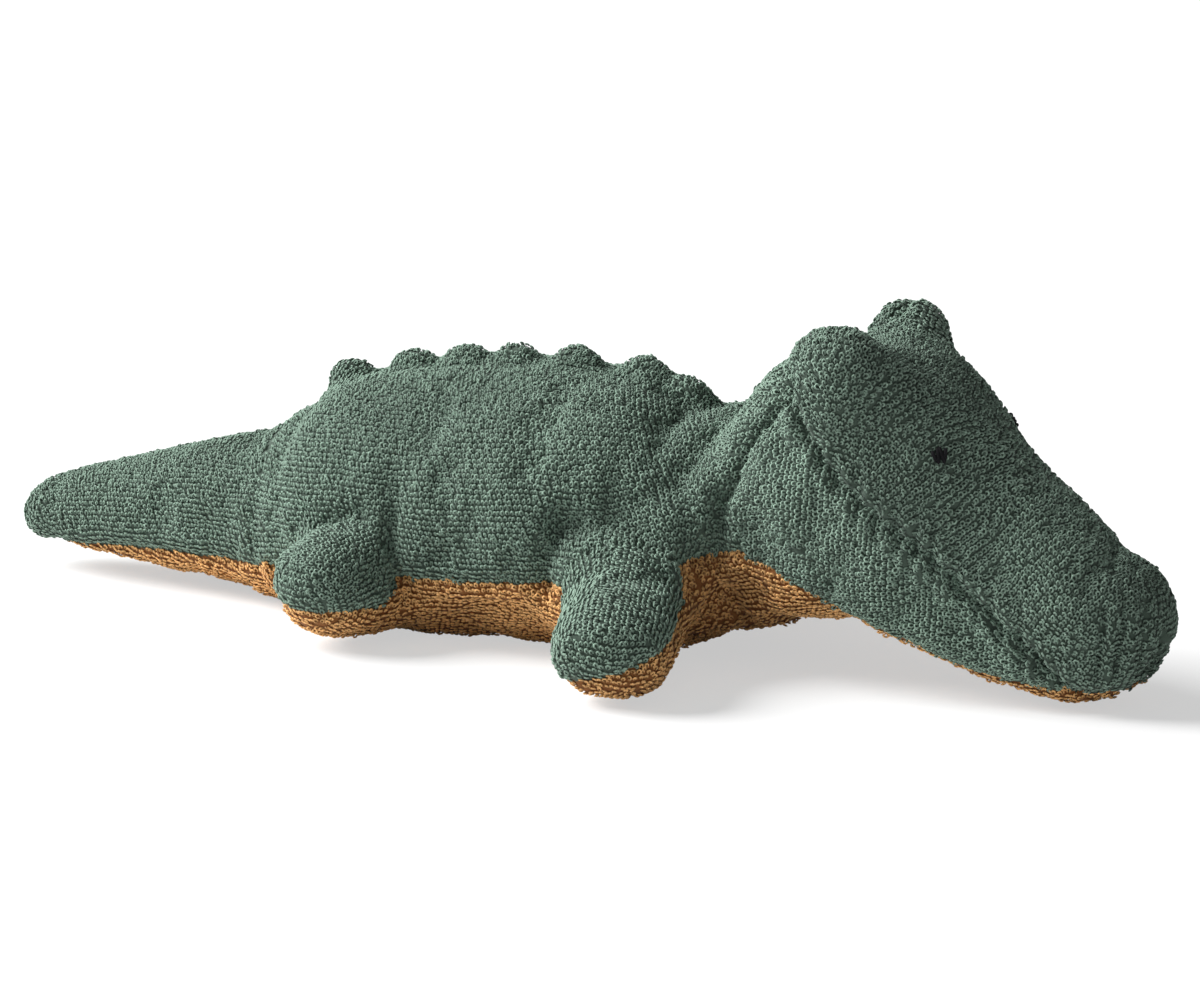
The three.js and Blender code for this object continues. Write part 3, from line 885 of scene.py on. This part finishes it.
def panels_at(space, points):
    """The node of the panel that each point belongs to."""
    owner = bodies_at(space, points)
    half = np.where(points[:, 1] < 0, "right", "left")
    part = np.char.add("back_panel_", half)
    low_down = points[:, 2] < on_line(belly_line, points[:, 0])
    part = np.where(low_down, "belly_panel", part)
    neck = (owner == "torso") & (points[:, 0] > neck_back)
    part = np.where(neck, np.where(low_down, "throat_panel", "neck_upper_panel"), part)
    under = points[:, 2] < on_line(tail_line, points[:, 0])
    tail_part = np.where(under, "tail_under_panel", np.char.add("tail_panel_", half))
    part = np.where(owner == "tail", tail_part, part)
    part = np.where(owner == "head", head_parts(points), part)
    for name in legs:
        upper = leg_level(space, name, points) > 0
        leg_part = np.where(upper, f"{name}_upper_panel", f"{name}_sole_panel")
        part = np.where(owner == name, leg_part, part)
    return owner, part


# The seam lines that some panels' rows are counted from; the others' start at a midline
rows_from = {"back_panel": belly_line, "tail_panel": tail_line, "head_side_panel": chin_line}


def is_ochre(node):
    return any(word in node for word in ("belly", "throat", "under", "chin", "sole"))


def rows_of_panel(node, body):
    """The line that a panel's rows are counted from, and whether they go round the form."""
    if body == "head" and node == "neck_upper_panel":
        node = "head_side_panel"
    for start, line in rows_from.items():
        if node.startswith(start):
            return line, start == "head_side_panel"
    return "under" if is_ochre(node) else "top", False


def area_between(one, other):
    return one[:, 0] * other[:, 1] - one[:, 1] * other[:, 0]


def find_loops(points, quads, uv):
    """Where the loops of each row lie: the face's corners, the place among them, and the cloth's run."""
    corners = np.concatenate([quads[:, [0, 1, 2]], quads[:, [0, 2, 3]]])
    at = np.concatenate([uv[:, [0, 1, 2]], uv[:, [0, 2, 3]]])
    start, first, second = at[:, 0], at[:, 1] - at[:, 0], at[:, 2] - at[:, 0]
    area = area_between(first, second)
    area = np.where(np.abs(area) < tiny, tiny, area)
    least = at.min(axis=1)
    found = []
    for k in range(3):
        row = np.ceil(least[:, 1]) + k
        shift = 0.5 * (row % 2)
        for m in range(3):
            spot = np.stack([np.ceil(least[:, 0] - shift) + m + shift, row], axis=1) - start
            s = area_between(spot, second) / area
            t = area_between(first, spot) / area
            inside = (s >= 0) & (t >= 0) & (s + t < 1)
            found.append(np.stack([np.nonzero(inside)[0], s[inside], t[inside]], axis=1))
    found = np.concatenate(found)
    face = found[:, 0].astype(int)
    share = np.stack([1 - found[:, 1] - found[:, 2], found[:, 1], found[:, 2]], axis=1)
    p = points[corners[face]]
    one, two = p[:, 1] - p[:, 0], p[:, 2] - p[:, 0]
    f, s, a = first[face], second[face], area[face, None]
    along = (one * s[:, 1:] - two * f[:, 1:]) / a
    across = (two * f[:, :1] - one * s[:, :1]) / a
    return corners[face], share, along, across


def unit(vectors):
    return vectors / np.maximum(np.linalg.norm(vectors, axis=-1, keepdims=True), tiny)


def dot(one, other):
    return np.einsum("ij,ij->i", one, other)[:, None]


def tube_faces(rings, sides):
    """The quads of a round wall, from ring to ring."""
    ring, side = np.indices((rings - 1, sides)).reshape(2, -1)
    after = (side + 1) % sides
    here, there = ring * sides, (ring + 1) * sides
    return np.stack([here + side, here + after, there + after, there + side], axis=1)


def joined(parts):
    """The parts of a mesh as one: their points, their faces, and what else they hold."""
    starts = np.cumsum([0] + [len(part[0]) for part in parts])
    held = [np.concatenate(column) for column in zip(*parts)]
    held[1] = np.concatenate([part[1] + start for part, start in zip(parts, starts)])
    return held


def knit(points, quads, normals, uv, seed):
    """The loops of a panel: the points and quads of their yarn, each point's lift out of the painted shade at
    the loops' roots, and its tone.
    """
    rng = np.random.default_rng(seed)
    found = []
    for extra, shift in enumerate(loop_rounds):
        more = find_loops(points, quads, uv + shift)
        spread = np.linalg.norm(np.cross(more[2], more[3]), axis=1) / (row_pitch * loop_pitch)
        keep = rng.random(len(spread)) < loop_share * spread - loop_share_less * extra
        found.append([part[keep] for part in more])
    corners, share, along, across = (np.concatenate(parts) for parts in zip(*found))
    place = np.einsum("ij,ijk->ik", share, points[corners])
    normal = unit(np.einsum("ij,ijk->ik", share, normals[corners]))
    count = len(place)

    def uneven(width):
        return width * rng.standard_normal((count, 1))

    row = unit(along - normal * dot(along, normal))
    twist = uneven(turn_spread) + turn_drift * lumps(place, *turn_lumps)[:, None]
    over = unit(row * np.cos(twist) + np.cross(normal, row) * np.sin(twist))
    lean = loop_lean + uneven(lean_spread) + lean_drift * lumps(place, *lean_lumps)[:, None]
    down = np.tile(brushed, (count, 1))
    down[:, 1] *= np.sign(place[:, 1])
    aside = -np.cross(normal, over) * np.sign(dot(np.cross(normal, row), down))
    rise = normal * np.cos(lean) + aside * np.sin(lean)
    size = 1 + uneven(size_spread)
    half_width = loop_width / 2 * size * (1 + uneven(width_spread))
    half_height = loop_height / 2 * size * (1 + uneven(height_spread))
    centre = place + rise * (half_height * loop_sink) + normal * yarn_radius
    centre = centre + place_spread * rng.standard_normal((count, 3))
    facing = np.cross(over, rise)
    angles = np.linspace(*loop_turn, loop_rings)
    rings = []
    for angle in angles:
        spoke = over * (math.cos(angle) * half_width) + rise * (math.sin(angle) * half_height)
        out = unit(over * math.cos(angle) + rise * math.sin(angle))
        for turn in 2 * math.pi * np.arange(yarn_sides) / yarn_sides:
            rings.append(centre + spoke + yarn_radius * (out * math.cos(turn) + facing * math.sin(turn)))
    yarn = np.stack(rings, axis=1)
    # Painted shade: the yarn is coloured darker towards each loop's root
    height = np.repeat(np.sin(angles) * 0.5 + 0.5, yarn_sides)
    lift = np.tile(painted_shade_root_lift + (1 - painted_shade_root_lift) * height, (count, 1))
    tone = np.broadcast_to(rng.random((count, 1)), lift.shape)
    starts = np.arange(count) * loop_rings * yarn_sides
    faces = tube_faces(loop_rings, yarn_sides) + starts[:, None, None]
    return yarn.reshape(-1, 3), faces.reshape(-1, 4), lift.ravel(), tone.ravel()


def set_values(mesh, name, values):
    """One number for each point, for the material."""
    mesh.attributes.new(name, "FLOAT", "POINT").data.foreach_set("value", values.astype(np.float32))


def cloth_coordinates(form, start, points, normals, quads):
    """Where each corner of each face lies on the flat cloth; a blunt end lies flat by itself."""
    corner = points[quads]
    flat = form.unroll(corner.reshape(-1, 3), start).reshape(*corner.shape[:2], 2)
    facing = unit(normals[quads].mean(axis=1)) @ form.turn[:, 0]
    blunt = np.abs(facing) > blunt_end
    flat[blunt] = form.local(corner[blunt].reshape(-1, 3))[:, 1:].reshape(-1, 4, 2)
    return flat


def swatch_places(tones):
    """Where the corners of the loops' faces lie on the colour map: rings across a swatch, sides up it."""
    tone = tones.reshape(-1, loop_rings * yarn_sides).mean(axis=1)
    tone = (tone - tone.min()) / max(np.ptp(tone), tiny)
    number = np.round(tone * (swatches.prod() - 1)).astype(int)
    swatch = np.stack([number % swatches[0], number // swatches[0]], axis=1)
    ring, side = np.indices((loop_rings - 1, yarn_sides)).reshape(2, -1)
    corners = [[ring, side], [ring, side + 1], [ring + 1, side + 1], [ring + 1, side]]
    inside = np.array(corners).transpose(2, 0, 1) / [loop_rings - 1, yarn_sides]
    inside = swatch_edge + (1 - 2 * swatch_edge) * inside
    places = (swatch[:, None, None] + inside) / swatches * [1, swatch_top]
    return places.reshape(-1, 4, 2)


def nap_and_painted_light(node, points):
    """How much darker or lighter the loops of a panel look: at random, by the way they are brushed, with
    painted shade on some panels and painted light on the cheeks.
    """
    tone = nap_depth * lumps(points, *nap_lumps)
    ahead = (head.local(points)[:, 0] - head_back) / head_length
    # Painted shade on the head's top panel, deepest towards the nose and over the brow
    if node == "head_top_panel":
        tone += top_painted_shade + nose_painted_shade * np.clip((ahead - nose_start) / nose_fade, 0, 1)
        tone += brow_painted_shade * bell(ahead - brow_shade_place, brow_shade_width)
    # Painted light low on the cheeks
    if "head_side" in node:
        low_down = np.clip((cheek_top - points[:, 2]) / cheek_fade, 0, 1)
        tone += cheek_painted_light * bell(ahead - cheek_place, cheek_width) * low_down
    # Painted shade on the throat and on the soles of the front legs
    if "throat" in node or "front_leg" in node and "sole" in node:
        tone += under_painted_shade
    return tone


def make_panels(space, points, quads, normals, materials):
    """One object for each panel, its backing cloth and its loops in one mesh."""
    owner, part = panels_at(space, points[quads].mean(axis=1))
    waves = row_wave * lumps(points, *row_lumps)
    made = {}
    for seed, node in enumerate(sorted(set(part))):
        used, index = np.unique(quads[part == node], return_inverse=True)
        backing = index.reshape(-1, 4)
        swatch = np.broadcast_to(backing_swatch, (len(backing), 4, 2))
        # The backing between the loops takes the darkest painted shade, that of the loops' roots
        parts = [(points[used], backing, np.zeros(len(used)), np.full(len(used), 0.5), swatch)]
        for body in sorted(set(owner[part == node])):
            start, round_it = rows_of_panel(node, body)
            own = quads[(part == node) & (owner == body)]
            flat = cloth_coordinates(forms[body], start, points, normals, own) + waves[own][..., None]
            flat = flat[..., ::-1] if round_it else flat
            flat = flat / np.array([loop_pitch, row_pitch])
            yarn, faces, lift, tone = knit(points, own, normals, flat, [seed, len(parts)])
            # The painted shade and light of some panels are added to the loops' random tone
            tone = tone + nap_and_painted_light(node, yarn)
            parts.append((yarn, faces, lift, tone, swatch_places(tone)))
        yarn, faces, lift, tone, places = joined(parts)
        mesh = mesh_of(node, yarn, faces)
        set_values(mesh, "lift", lift)
        set_values(mesh, "tone", tone)
        colour_map = mesh.uv_layers.new(name="OFBake")
        colour_map.uv.foreach_set("vector", places.astype(np.float32).ravel())
        slot = "ochre_terry" if is_ochre(node) else "green_terry"
        mesh.materials.append(materials[slot])
        made[node] = add_object(node.replace("_panel", "_terry"), mesh)
        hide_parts(node)
    return made


def tube(path, radius, sides=8):
    """A round thread along a path, with its ends drawn in."""
    path = np.asarray(path, float)
    ahead = unit(np.gradient(path, axis=0))
    side = unit(np.cross(ahead, thread_aside))
    up = np.cross(ahead, side)
    ends = np.linspace(-1, 1, len(path)) ** thread_end
    width = radius * np.sqrt(np.clip(1 - ends, thread_least, 1))
    turn = 2 * math.pi * np.arange(sides) / sides
    ring = side[:, None] * np.cos(turn)[:, None] + up[:, None] * np.sin(turn)[:, None]
    points = path[:, None] + width[:, None, None] * ring
    return points.reshape(-1, 3), tube_faces(len(path), sides)[:, [0, 3, 2, 1]]


def make_eye(node, points, normals, material):
    """An embroidered eye: a few stitches of black thread side by side."""
    low, high = (np.array(corner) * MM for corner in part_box(node))
    place = (low + high) / 2 + np.array([0.0, math.copysign(eye_out, low[1]), -eye_down])
    nearest = np.argmin(np.linalg.norm(points - place, axis=1))
    middle, out = points[nearest], normals[nearest]
    down = unit(np.cross(out, [0.0, 1.0, 0.0]) * np.sign(out[1]) + np.array([0.0, 0.0, -1.0]))
    down = unit(down - out * (down @ out))
    aside = np.cross(out, down)
    parts = []
    for place, length, slant in stitches:
        at = np.linspace(-0.5, 0.5, stitch_points)
        slant = math.radians(slant)
        run = unit(down * math.cos(slant) + aside * math.sin(slant))
        rise = loops_reach * (thread_rise - thread_dip * np.abs(at) ** 3)
        line = middle + aside * place + np.outer(at * length, run) + np.outer(rise, out)
        parts.append(tube(line, thread_radius))
    mesh = mesh_of(node, *joined(parts))
    mesh.materials.append(material)
    eye = add_object(node.replace("eye", "eye_stitches"), mesh)
    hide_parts(node)
    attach(eye, "head")


def make_fillings(space, material):
    """The lumpy fibre inside each body, clear of the skin and of the filling next to it."""
    x = space.points[..., 0]
    torso_inside = space.fields["torso"]
    head_inside = space.fields["head"]
    neck_middle = neck_pivot[0] - neck_filling_back
    fields = {
        "body_stuffing": np.maximum(torso_inside, x - neck_back + filling_gap),
        "neck_stuffing": np.maximum(head_inside + filling_gap, np.abs(x - neck_middle) - neck_filling),
        "head_stuffing": np.maximum(head_inside, neck_front + filling_gap - x),
    }
    for name in ("tail", *legs):
        fields[f"{name}_stuffing"] = np.maximum(space.fields[name], -torso_inside - filling_inset)
    for node, inside in fields.items():
        points, quads = space.surface(inside + filling_inset, coarser=2)
        normals = normals_of(points, quads)
        points = points + normals * (filling_rise * lumps(points, *filling_lumps))[:, None]
        mesh = mesh_of(node, *refined(points, quads))
        mesh.materials.append(material)
        filling = add_object(node.replace("stuffing", "filling"), mesh)
        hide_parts(node)
        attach(filling, body_of_node[node])


def bend(start_body, end_body, start, step):
    """The two bodies that a piece joins, and the start and end given for a bend between them."""
    start = Vector(start) / MM
    return start_body, end_body, start, start + Vector(step) / MM


bends = {
    "neck": bend("torso", "neck", (neck_front - neck_bend, 0, neck_pivot[2]), (neck_bend, 0, 0)),
    "head": bend("neck", "head", (neck_front, 0, neck_pivot[2]), (head_bend, 0, 0)),
    "tail": bend("torso", "tail", (torso_back - tail_bend_start, 0, tail_pivot[2]), (-tail_bend, 0, 0)),
}
for name, leg in legs.items():
    start = (leg["pivot"][0], leg["root"] * leg["sign"], leg["pivot"][2])
    bends[name] = bend("torso", name, start, (0, leg_bend * leg["sign"], 0))


def set_inputs(tree, node, inputs):
    """Sets a node's inputs, each to a value or to another node's output."""
    for name, value in inputs.items():
        if isinstance(value, bpy.types.NodeSocket):
            tree.links.new(value, node.inputs[name])
        else:
            node.inputs[name].default_value = value


def add_node(tree, kind, inputs=None, **settings):
    """A shader node with its settings and its inputs."""
    made = tree.nodes.new("ShaderNode" + kind)
    for name, value in settings.items():
        setattr(made, name, value)
    set_inputs(tree, made, inputs or {})
    return made


def new_material(name, roughness, gloss):
    """A material, its tree and its shader."""
    material = bpy.data.materials.new(name)
    material.use_nodes = True
    tree = material.node_tree
    shader = tree.nodes["Principled BSDF"]
    set_inputs(tree, shader, {"Roughness": roughness, "Specular IOR Level": gloss})
    return material, tree, shader


def add_fibres(tree, shader, scale, detail):
    """Fine fibres as bumps; gives the noise that they come from."""
    place = add_node(tree, "TexCoord").outputs["Object"]
    noise = add_node(tree, "TexNoise", {"Vector": place, "Scale": scale, "Detail": detail}).outputs["Fac"]
    bump = add_node(tree, "Bump", {"Height": noise, "Strength": 0.5, "Distance": fibre_height / MM})
    set_inputs(tree, shader, {"Normal": bump.outputs["Normal"]})
    return noise


def colour_by(tree, shader, value, low, high, colour):
    """Gives the shader a colour, scaled by a value."""
    shade = add_node(tree, "MapRange", {"Value": value, "To Min": low, "To Max": high}, clamp=False)
    scaled = add_node(tree, "VectorMath", {0: colour, "Scale": shade.outputs["Result"]}, operation="SCALE")
    set_inputs(tree, shader, {"Base Color": scaled.outputs["Vector"]})


def terry(name, painted_root_shade, light):
    """Cotton yarn with painted shade: dark at the roots of its loops and on the backing, light at their
    crowns.
    """
    material, tree, shader = new_material(name, roughness=0.95, gloss=0.1)
    lift = add_node(tree, "Attribute", attribute_name="lift").outputs["Fac"]
    tone = add_node(tree, "Attribute", attribute_name="tone").outputs["Fac"]
    ramp = add_node(tree, "ValToRGB", {"Fac": lift})
    for stop, colour in zip(ramp.color_ramp.elements, (painted_root_shade, light)):
        stop.color = (*colour, 1)
    colour_by(tree, shader, tone, *tone_range, ramp.outputs["Color"])
    add_fibres(tree, shader, scale=2600, detail=3)
    set_inputs(tree, shader, {"Sheen Weight": 0.1, "Sheen Roughness": 0.6})
    return material


def plain(name, colour, roughness, gloss):
    """A plain fibre or thread, with a little unevenness."""
    material, tree, shader = new_material(name, roughness, gloss)
    fibres = add_fibres(tree, shader, scale=1800, detail=2)
    colour_by(tree, shader, fibres, *plain_range, colour)
    return material


def add_camera():
    """A camera at the photograph's angle."""
    flat = math.cos(camera_elevation)
    ahead = math.cos(camera_azimuth) * flat
    back = Vector((math.sin(camera_azimuth) * flat, -ahead, math.sin(camera_elevation)))
    camera = add_object("camera", bpy.data.cameras.new("camera"))
    camera.location = camera_target + back * camera_distance
    camera.rotation_mode = "QUATERNION"
    camera.rotation_quaternion = (-back).to_track_quat("-Z", "Y")
    camera.data.sensor_width = camera_sensor
    camera.data.lens = camera_lens
    camera.data.shift_x, camera.data.shift_y = camera_shift
    camera.data.clip_start = camera_near
    bpy.context.scene.camera = camera


def add_sun():
    """One broad soft light from the upper left."""
    lamp = bpy.data.lights.new("sun", "SUN")
    lamp.angle = sun_spread
    lamp.energy = sun_power
    sun = add_object("sun", lamp)
    sun.rotation_mode = "QUATERNION"
    sun.rotation_quaternion = Vector(sun_from).to_track_quat("Z", "Y")


def mix_shaders(tree, share, first, second, end):
    """Two shaders mixed by a share, as the surface."""
    mix = add_node(tree, "MixShader", {"Fac": share, 1: first.outputs[0], 2: second.outputs[0]})
    set_inputs(tree, tree.nodes[end], {"Surface": mix.outputs["Shader"]})


def add_surround():
    """Plain soft light from all round, and white where the camera sees past the floor."""
    world = bpy.data.worlds.new("surround")
    world.use_nodes = True
    tree = world.node_tree
    light = tree.nodes["Background"]
    set_inputs(tree, light, {"Color": plain_white, "Strength": world_power})
    white = add_node(tree, "Background", {"Color": plain_white})
    ray = add_node(tree, "LightPath").outputs
    seen = ray["Is Camera Ray"]
    for kind in ("Is Glossy Ray", "Is Transmission Ray"):
        either = add_node(tree, "Math", {0: seen, 1: ray[kind]}, operation="ADD", use_clamp=True)
        seen = either.outputs["Value"]
    mix_shaders(tree, seen, light, white, "World Output")
    bpy.context.scene.world = world


def add_floor():
    """A pale floor under the animal, which glows a little, for the camera only."""
    corners = np.array([[-1, -1, 0], [1, -1, 0], [1, 1, 0], [-1, 1, 0]])
    mesh = mesh_of("floor", corners * floor_reach * MM, np.array([[0, 1, 2, 3]]))
    material, tree, shader = new_material("floor", roughness=1.0, gloss=0.0)
    set_inputs(tree, shader, {"Base Color": floor_colour})
    glow = add_node(tree, "Emission", {"Color": plain_white})
    seen = add_node(tree, "LightPath").outputs["Is Camera Ray"]
    share = add_node(tree, "Math", {0: seen, 1: floor_glow}, operation="MULTIPLY")
    mix_shaders(tree, share.outputs["Value"], shader, glow, "Material Output")
    mesh.materials.append(material)
    add_object("floor", mesh)


space = Space(voxel)
points, quads = space.surface(space.union)
points, quads = refined(points, quads)
points = shape_skin(space, points, quads)
normals = normals_of(points, quads)
materials = {
    # Each terry's first colour is the painted shade at its loops' roots, its second the yarn's colour at
    # their crowns
    "green_terry": terry("green terry", (0.062, 0.09, 0.07), (0.22, 0.317, 0.25)),
    "ochre_terry": terry("ochre terry", (0.22, 0.09, 0.027), (0.9, 0.51, 0.2)),
    "fibre_filling": plain("fibre filling", (0.8, 0.78, 0.74), roughness=0.95, gloss=0.1),
    "black_thread": plain("black thread", (0.005, 0.005, 0.006), roughness=0.8, gloss=0.12),
}
panels = make_panels(space, points, quads, normals, materials)
for node, piece in panels.items():
    body = body_of_node[node]
    if body in bends:
        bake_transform(piece)
    else:
        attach(piece, body)

make_fillings(space, materials["fibre_filling"])
for side in ("right", "left"):
    make_eye(f"eye_{side}", points, normals, materials["black_thread"])

add_camera()
add_sun()
add_surround()
add_floor()
bpy.context.scene.view_settings.view_transform = "Standard"
